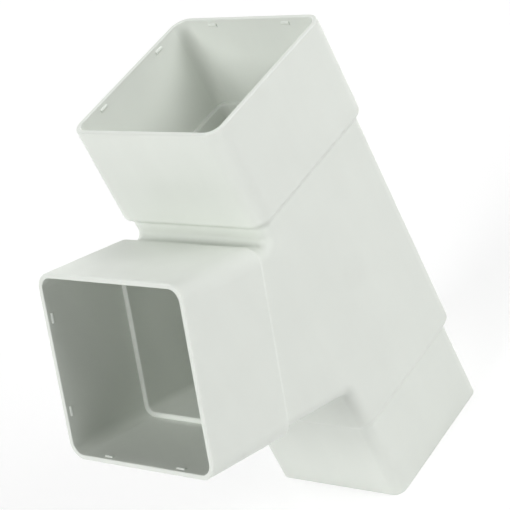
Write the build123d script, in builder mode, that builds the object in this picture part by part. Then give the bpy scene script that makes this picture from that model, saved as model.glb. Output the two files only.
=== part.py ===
# Branch fitting for 65 mm square downpipe, moulded in one piece.
# The run stands along +Z with its spigot down, and the branch leaves it towards -X and up.
# The origin is the centre of the spigot's end face.  Lengths in millimetres, angles in degrees.
import os
from math import atan, cos, degrees, radians, sin, tan

from build123d import *

# Lengths along the run, measured up from the spigot end
run_length = 175.5
spigot_length = 35.2  # up to where the fitting begins to widen into the body
branch_height = 77.0  # where the two axes cross

# The branch
branch_angle = 67.5  # between the branch and the upper half of the run
branch_reach = 98.0  # from the crossing of the axes to the branch mouth

# Sockets, the same on the run and on the branch
socket_size = 70.0
socket_corner = 6.4
socket_length = 39.9  # from the rim to where the shoulder turns in
socket_bore_mouth = 66.2
socket_bore_stop = 65.4  # the bore draws in by the mould's draft
socket_bore_corner = 4.5
stop_depth = 37.0  # from the rim to the ledge that the pipe stops on

# Body between the sockets and the spigot
body_width = 65.4  # side to side, on the run and the branch alike
body_depth_top = 65.9  # front to back of the run under its socket
body_depth_foot = 64.1  # front to back of the run above the spigot
neck_depth = 65.6  # the branch behind its socket, from its top to its underside
body_corner = 4.6
body_wall = 1.9
body_bore_corner = 2.7

# Spigot
spigot_size = 60.4
spigot_corner = 4.4
spigot_bore = 56.6
spigot_bore_end = 56.9
spigot_bore_corner = 2.6

# Steps between one size and the next, all sloped alike
step_slope = 45.0
step_round = 2.0  # on the outer edge of a step
step_hollow = 2.0  # and in its inner corner

# Creases where the branch leaves the run, and broken edges
crease_round = 2.2
bore_crease_round = 1.0
edge_break = 0.4  # outside the rims and the spigot end, and on the ledges
rim_break = 0.2  # inside the rims

# Grip pips inside each socket, two on each wall
pip_depth = 2.3  # from the rim to the middle of a pip
pip_spacing = 35.0
pip_length = 3.7
pip_radius = 0.9
pip_rise = 0.5

# Planes that look out of the openings, with local X towards the back of the run
# and, on the branch, towards its upper wall
tilt = radians(branch_angle)
branch_out = Vector(-sin(tilt), 0, cos(tilt))
branch_up = Vector(cos(tilt), 0, sin(tilt))
crossing = Vector(0, 0, branch_height)
top_mouth = Plane(origin=(0, 0, run_length), x_dir=(1, 0, 0), z_dir=(0, 0, 1))
branch_mouth = Plane(
    origin=crossing + branch_out * branch_reach, x_dir=branch_up, z_dir=branch_out
)
spigot_end = Plane(origin=(0, 0, 0), x_dir=(1, 0, 0), z_dir=(0, 0, -1))
mouths = (top_mouth, branch_mouth)

# Allowances for joining and cutting the forms
overrun = 1.0  # how far a form runs on past the face that it opens through
buried = 8.0  # how far the body runs on inside a socket
step_reach = 6.0  # more than the height of any step
step_spare = 0.3  # how far a socket's slope runs on below the body's surface


def at_depth(shapes, mouth, depth, slack=0.01):
    # The edges or faces whose middle lies at this depth behind the mouth
    axis = Axis(mouth.origin, mouth.z_dir)
    return shapes.filter_by_position(axis, -depth - slack, -depth + slack)


def funnel_ring(lowest, size, corner):
    # Square ring around a funnel that opens upwards with the slope of the steps
    with BuildPart() as ring:
        with BuildSketch(lowest):
            Rectangle(2 * body_width, 2 * body_width)
        extrude(amount=step_reach)
        with BuildSketch(lowest):
            RectangleRounded(size, size, corner)
        extrude(amount=step_reach, taper=-step_slope, mode=Mode.SUBTRACT)
    return ring.part


def body_form(inset, corner, crease, foot_height, foot_size, foot_corner):
    # The run and the branch neck as one flat-sided form, drawn from the side and set in
    # from the body's outside.  At its foot it steps in to the size given.
    top = run_length - stop_depth + buried
    lowest = foot_height - overrun
    half_top = body_depth_top / 2 - inset
    half_foot = body_depth_foot / 2 - inset
    ring = funnel_ring(
        Plane.XY.offset(lowest), foot_size - 2 * overrun, foot_corner - overrun
    )
    with BuildPart() as form:
        with BuildSketch(Plane.XZ) as side:
            with BuildLine():
                Polyline(
                    (-half_foot, lowest),
                    (half_foot, lowest),
                    (half_top, top),
                    (-half_top, top),
                    close=True,
                )
            make_face()
            with Locations((0, branch_height)):
                Rectangle(
                    branch_reach - stop_depth + buried,
                    neck_depth - 2 * inset,
                    rotation=90 + branch_angle,
                    align=(Align.MIN, Align.CENTER),
                )
            front = side.vertices().filter_by_position(Axis.X, -half_top, -half_foot)
            fillet(front.filter_by_position(Axis.Y, foot_height, top - overrun), crease)
        extrude(amount=body_width / 2 - inset, both=True)
        side_edges = form.faces().filter_by(Axis.Y).edges()
        fillet(side_edges.filter_by_position(Axis.Z, foot_height, run_length), corner)
        add(ring, mode=Mode.SUBTRACT)
    return form.part


def socket_outside(mouth):
    # The square block of a socket, with its shoulder sloped in towards the body
    slope = (socket_size - body_width) / 2 + step_spare
    with BuildPart() as form:
        with BuildSketch(mouth):
            RectangleRounded(socket_size, socket_size, socket_corner)
        extrude(amount=-socket_length - slope)
        chamfer(at_depth(form.edges(), mouth, socket_length + slope), slope)
        fillet(at_depth(form.edges(), mouth, socket_length), step_round)
        chamfer(at_depth(form.edges(), mouth, 0), edge_break)
    return form.part


def drafted_bore(mouth, depth, mouth_size, inner_size, corner):
    # A square bore that narrows inwards by the mould's draft
    draft = degrees(atan((mouth_size - inner_size) / 2 / depth))
    with BuildPart() as form:
        with BuildSketch(mouth):
            RectangleRounded(mouth_size, mouth_size, corner)
        extrude(amount=-depth, taper=draft)
        opening = at_depth(form.faces(), mouth, 0)
        extrude(opening[0], amount=overrun)
    return form.part


# Outside: body, sockets and spigot, with hollows where the steps meet what they lead to
outer_body = body_form(
    0, body_corner, crease_round, spigot_length, spigot_size, spigot_corner
)
outer_sockets = [socket_outside(mouth) for mouth in mouths]
shoulder_foot = socket_length + (socket_size - body_width) / 2
with BuildPart() as outside:
    add(outer_body)
    half_step = step_reach / 2
    step_edges = at_depth(outside.edges(), spigot_end, spigot_length + half_step, half_step)
    fillet(step_edges, step_round)
    add(outer_sockets)
    with BuildSketch(Plane.XY):
        RectangleRounded(spigot_size, spigot_size, spigot_corner)
    extrude(amount=spigot_length + overrun)
    for mouth in mouths:
        shoulder_edges = at_depth(outside.edges(), mouth, shoulder_foot, step_spare)
        fillet(shoulder_edges, step_hollow)
    fillet(at_depth(outside.edges(), spigot_end, spigot_length), step_hollow)
    chamfer(at_depth(outside.edges(), spigot_end, 0), edge_break)

# Waterway: the bores of body, sockets and spigot, with the body's wall kept round its step
bore_step = spigot_length + body_wall * tan(radians(step_slope / 2))
inner_body = body_form(
    body_wall, body_bore_corner, bore_crease_round, bore_step, spigot_bore, spigot_bore_corner
)
socket_bores = [
    drafted_bore(mouth, stop_depth, socket_bore_mouth, socket_bore_stop, socket_bore_corner)
    for mouth in mouths
]
spigot_waterway = drafted_bore(
    spigot_end, spigot_length + overrun, spigot_bore_end, spigot_bore, spigot_bore_corner
)

# The fitting, with its inner rims and ledges broken and its grip pips half sunk in the walls
with BuildPart() as downpipe_branch:
    add(outside.part)
    add(inner_body, mode=Mode.SUBTRACT)
    add(socket_bores, mode=Mode.SUBTRACT)
    add(spigot_waterway, mode=Mode.SUBTRACT)
    for mouth in mouths:
        rim = at_depth(downpipe_branch.faces(), mouth, 0).sort_by(SortBy.AREA)[-1]
        ledge = at_depth(downpipe_branch.faces(), mouth, stop_depth).sort_by(SortBy.AREA)[-1]
        chamfer(rim.inner_wires()[0].edges(), rim_break)
        chamfer(ledge.inner_wires()[0].edges(), edge_break)
    pip_centre = socket_bore_mouth / 2 + pip_radius - pip_rise
    for mouth in mouths:
        with Locations(mouth.offset(-pip_depth)):
            with PolarLocations(pip_centre, 4):
                with GridLocations(1, pip_spacing, 1, 2):
                    Cylinder(pip_radius, pip_length, rotation=(90, 0, 0))

downpipe_branch.part.label = "downpipe_branch"
os.makedirs("parts", exist_ok=True)
export_step(downpipe_branch.part, "parts/downpipe_branch.step")
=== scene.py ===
from math import cos, radians, sin

import bpy
from mathutils import Matrix, Vector

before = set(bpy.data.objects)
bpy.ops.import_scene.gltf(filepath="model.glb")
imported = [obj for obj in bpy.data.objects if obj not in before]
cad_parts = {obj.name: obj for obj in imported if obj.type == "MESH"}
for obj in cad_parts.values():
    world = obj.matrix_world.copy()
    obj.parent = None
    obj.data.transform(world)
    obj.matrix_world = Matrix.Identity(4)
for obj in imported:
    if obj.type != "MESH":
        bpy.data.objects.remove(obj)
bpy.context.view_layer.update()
scene = bpy.context.scene
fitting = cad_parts["downpipe_branch"]
print("frame loaded with", len(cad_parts), "node")


# Helpers for shader nodes

noiseMiddle = (0.3, 0.7)  # nearly all of a noise lies between these


def addNode(tree, kind, **settings):
    node = tree.nodes.new(kind)
    for name, value in settings.items():
        setattr(node, name, value)
    return node


def setInputs(node, **values):
    # A socket is named with _ for each space
    for name, value in values.items():
        node.inputs[name.replace("_", " ")].default_value = value
    return node


def mathNode(tree, operation, first, second, clamp=False):
    node = addNode(tree, "ShaderNodeMath", operation=operation, use_clamp=clamp)
    tree.links.new(first, node.inputs[0])
    tree.links.new(second, node.inputs[1])
    return node.outputs[0]


def noiseAt(tree, place, size):
    # Noise whose patches are about this many metres across
    noise = setInputs(addNode(tree, "ShaderNodeTexNoise"), Scale=1 / size)
    tree.links.new(place, noise.inputs["Vector"])
    return noise.outputs["Fac"]


def spreadAbout(tree, noise, middle, reach):
    # A noise stretched to go this far either side of the middle given
    node = addNode(tree, "ShaderNodeMapRange")
    setInputs(node, From_Min=noiseMiddle[0], From_Max=noiseMiddle[1],
              To_Min=middle - reach, To_Max=middle + reach)
    tree.links.new(noise, node.inputs["Value"])
    return node.outputs["Result"]


def bumpNode(tree, height, depth, below=None):
    node = setInputs(addNode(tree, "ShaderNodeBump"), Strength=1.0, Distance=depth)
    tree.links.new(height, node.inputs["Height"])
    if below:
        tree.links.new(below, node.inputs["Normal"])
    return node


def mixShaders(tree, share, first, second):
    # The second shader takes the share given
    mix = addNode(tree, "ShaderNodeMixShader")
    for socket, end in zip((share, first, second), mix.inputs):
        tree.links.new(socket, end)
    return mix.outputs["Shader"]


# The moulded PVC, a pale grey-green white with a satin skin.  Lengths in metres.

plasticSet = {
    "colour": (0.777, 0.808, 0.758),
    "cloudSize": 0.022,  # soft patches in the colour
    "cloudShare": 0.01,  # how far they go either way
    "streakSize": (0.009, 0.009, 0.08),  # flow streaks along the run
    "streakShare": 0.007,
    "roughness": 0.42,
    "roughnessSpread": 0.05,
    "peelSize": 0.004,  # the slight waviness of a moulded face
    "peelDepth": 0.000012,
    "grainSize": 0.0005,  # the texture of the mould
    "grainDepth": 0.000002,
    "scarPlace": (-0.0037, -0.0327, 0.09),  # where the plastic was let in, on the side
    "scarRadius": 0.0095,
    "scarCore": 0.0032,  # radius within which it is at its deepest
    "scarShade": 0.982,  # times the colour around it
    "scarDepth": 0.00006,
}


def makeScar(tree, place, settings):
    # One over the core of the scar, falling softly to nothing at its rim
    away = addNode(tree, "ShaderNodeVectorMath", operation="DISTANCE")
    away.inputs[1].default_value = settings["scarPlace"]
    tree.links.new(place, away.inputs[0])
    fade = addNode(tree, "ShaderNodeMapRange", interpolation_type="SMOOTHSTEP")
    setInputs(fade, From_Min=settings["scarCore"], From_Max=settings["scarRadius"],
              To_Min=1.0, To_Max=0.0)
    tree.links.new(away.outputs["Value"], fade.inputs["Value"])
    return fade.outputs["Result"]


def makePlastic(settings):
    material = bpy.data.materials.new("mouldedPvc")
    material.use_nodes = True
    tree = material.node_tree
    shader = tree.nodes["Principled BSDF"]
    place = addNode(tree, "ShaderNodeTexCoord").outputs["Object"]
    scar = makeScar(tree, place, settings)

    # Colour
    clouds = noiseAt(tree, place, settings["cloudSize"])
    clouds = spreadAbout(tree, clouds, 1.0, settings["cloudShare"])
    stretched = addNode(tree, "ShaderNodeVectorMath", operation="DIVIDE")
    stretched.inputs[1].default_value = settings["streakSize"]
    tree.links.new(place, stretched.inputs[0])
    streaks = noiseAt(tree, stretched.outputs["Vector"], 1.0)
    streaks = spreadAbout(tree, streaks, 1.0, settings["streakShare"])
    scarShade = addNode(tree, "ShaderNodeMapRange")
    setInputs(scarShade, To_Min=1.0, To_Max=settings["scarShade"])
    tree.links.new(scar, scarShade.inputs["Value"])
    shade = mathNode(tree, "MULTIPLY", clouds, streaks)
    shade = mathNode(tree, "MULTIPLY", shade, scarShade.outputs["Result"])
    tint = addNode(tree, "ShaderNodeVectorMath", operation="SCALE")
    tint.inputs[0].default_value = settings["colour"]
    tree.links.new(shade, tint.inputs["Scale"])
    tree.links.new(tint.outputs["Vector"], shader.inputs["Base Color"])

    # Skin
    grain = noiseAt(tree, place, settings["grainSize"])
    rough = spreadAbout(tree, grain, settings["roughness"], settings["roughnessSpread"])
    tree.links.new(rough, shader.inputs["Roughness"])
    fine = bumpNode(tree, grain, settings["grainDepth"])
    peel = noiseAt(tree, place, settings["peelSize"])
    wavy = bumpNode(tree, peel, settings["peelDepth"], fine.outputs["Normal"])
    dipped = bumpNode(tree, scar, settings["scarDepth"], wavy.outputs["Normal"])
    dipped.invert = True
    tree.links.new(dipped.outputs["Normal"], shader.inputs["Normal"])
    return material


fitting.data.materials.clear()
fitting.data.materials.append(makePlastic(plasticSet))
print("plastic placed on", fitting.name)


# Floor, which looks white and keeps a faint shadow round the fitting.  Lengths in metres.

floorSet = {
    "halfWidth": 12.0,
    "colour": (0.9, 0.9, 0.9),
    "shadowShare": 0.5,  # how much of the lit floor shows near the fitting
    "glow": 0.61,  # added to that, so that it comes out white
    "shadowReach": 0.45,  # how far out the floor begins to turn plain white
    "plainFrom": 0.9,  # and where it is plain white
}


def seenDirect(tree):
    # One for a ray from the camera, or one that a mirror or a glass sends on
    ray = addNode(tree, "ShaderNodeLightPath").outputs
    sentOn = mathNode(tree, "ADD", ray["Is Glossy Ray"], ray["Is Transmission Ray"])
    return mathNode(tree, "ADD", ray["Is Camera Ray"], sentOn, clamp=True)


def makeFloorPaint(settings):
    material = bpy.data.materials.new("paleFloor")
    material.use_nodes = True
    tree = material.node_tree
    tree.nodes.clear()
    matt = setInputs(addNode(tree, "ShaderNodeBsdfDiffuse"), Color=(*settings["colour"], 1))
    glow = setInputs(addNode(tree, "ShaderNodeEmission"), Strength=settings["glow"])
    faded = setInputs(addNode(tree, "ShaderNodeMixShader"), Fac=settings["shadowShare"])
    tree.links.new(matt.outputs["BSDF"], faded.inputs[2])
    near = addNode(tree, "ShaderNodeAddShader")
    tree.links.new(faded.outputs["Shader"], near.inputs[0])
    tree.links.new(glow.outputs["Emission"], near.inputs[1])
    plain = setInputs(addNode(tree, "ShaderNodeEmission"), Strength=1.0)
    away = addNode(tree, "ShaderNodeVectorMath", operation="LENGTH")
    tree.links.new(addNode(tree, "ShaderNodeTexCoord").outputs["Object"], away.inputs[0])
    turn = addNode(tree, "ShaderNodeMapRange", interpolation_type="SMOOTHSTEP")
    setInputs(turn, From_Min=settings["shadowReach"], From_Max=settings["plainFrom"])
    tree.links.new(away.outputs["Value"], turn.inputs["Value"])
    shown = mixShaders(tree, turn.outputs["Result"], near.outputs["Shader"],
                       plain.outputs["Emission"])
    surface = mixShaders(tree, seenDirect(tree), matt.outputs["BSDF"], shown)
    output = addNode(tree, "ShaderNodeOutputMaterial")
    tree.links.new(surface, output.inputs["Surface"])
    return material


def makeFloor(settings):
    half = settings["halfWidth"]
    corners = [(-half, -half, 0), (half, -half, 0), (half, half, 0), (-half, half, 0)]
    mesh = bpy.data.meshes.new("floor")
    mesh.from_pydata(corners, [], [(0, 1, 2, 3)])
    mesh.materials.append(makeFloorPaint(settings))
    floor = bpy.data.objects.new("floor", mesh)
    scene.collection.objects.link(floor)


makeFloor(floorSet)
print("floor laid")


# Lamps, each a square soft box aimed at the middle of the fitting.  Lengths in metres.

lampSet = {
    "aim": (-0.03, 0, 0.09),
    "distance": 1.5,
    "lamps": {  # azimuth and elevation in degrees, width, watts
        "mouthLow": (172, 30, 0.7, 13.1),
        "mouthHigh": (188, 48, 0.7, 3.1),
        "sideLow": (290, 30, 0.8, 11.3),
        "sideHigh": (324, 45, 0.7, 4.6),
        "farSide": (75, 22, 0.7, 6.6),
        "back": (20, 10, 0.7, 8.5),
    },
}


def makeLamps(settings):
    for name, (azimuth, elevation, width, watts) in settings["lamps"].items():
        data = bpy.data.lights.new(name, "AREA")
        data.shape = "SQUARE"
        data.size = width
        data.energy = watts
        lamp = bpy.data.objects.new(name, data)
        a, e = radians(azimuth), radians(elevation)
        outward = Vector((cos(e) * cos(a), cos(e) * sin(a), sin(e)))
        lamp.location = Vector(settings["aim"]) + outward * settings["distance"]
        lamp.rotation_euler = outward.to_track_quat("Z", "Y").to_euler()
        lamp.visible_camera = False
        scene.collection.objects.link(lamp)


def makeWorld():
    # White where it is seen or mirrored, and no light from it on the fitting
    world = bpy.data.worlds.new("studio")
    world.use_nodes = True
    tree = world.node_tree
    tree.nodes.clear()
    white = setInputs(addNode(tree, "ShaderNodeBackground"), Color=(1, 1, 1, 1))
    tree.links.new(seenDirect(tree), white.inputs["Strength"])
    output = addNode(tree, "ShaderNodeOutputWorld")
    tree.links.new(white.outputs["Background"], output.inputs["Surface"])
    scene.world = world


makeLamps(lampSet)
makeWorld()
scene.view_settings.view_transform = "Standard"
print("lamps and world set")


# Camera, at the photograph's angle and rolled as it was

cameraSet = {
    "azimuth": -39.556,  # of its level direction before the roll, in degrees
    "elevation": 30.636,
    "roll": -27.537,
    "distance": 0.803111,  # along the view, from the origin, in metres
    "right": -0.048952,  # how far it stands off that line
    "up": 0.070214,
    "lens": 143.563,
    "sensor": 36.0,
}


def makeCamera(settings):
    a, e, r = (radians(settings[name]) for name in ("azimuth", "elevation", "roll"))
    # Its directions before the roll
    level = Vector((cos(a), sin(a), 0))
    back = Vector((sin(a) * cos(e), -cos(a) * cos(e), sin(e)))
    upright = back.cross(level)
    # And after it
    right = level * cos(r) + upright * sin(r)
    up = upright * cos(r) - level * sin(r)
    data = bpy.data.cameras.new("camera")
    data.sensor_width = settings["sensor"]
    data.lens = settings["lens"]
    camera = bpy.data.objects.new("camera", data)
    place = back * settings["distance"] + right * settings["right"] + up * settings["up"]
    turn = Matrix((right, up, back)).transposed().to_4x4()
    camera.matrix_world = Matrix.Translation(place) @ turn
    scene.collection.objects.link(camera)
    scene.camera = camera


makeCamera(cameraSet)
print("camera set")
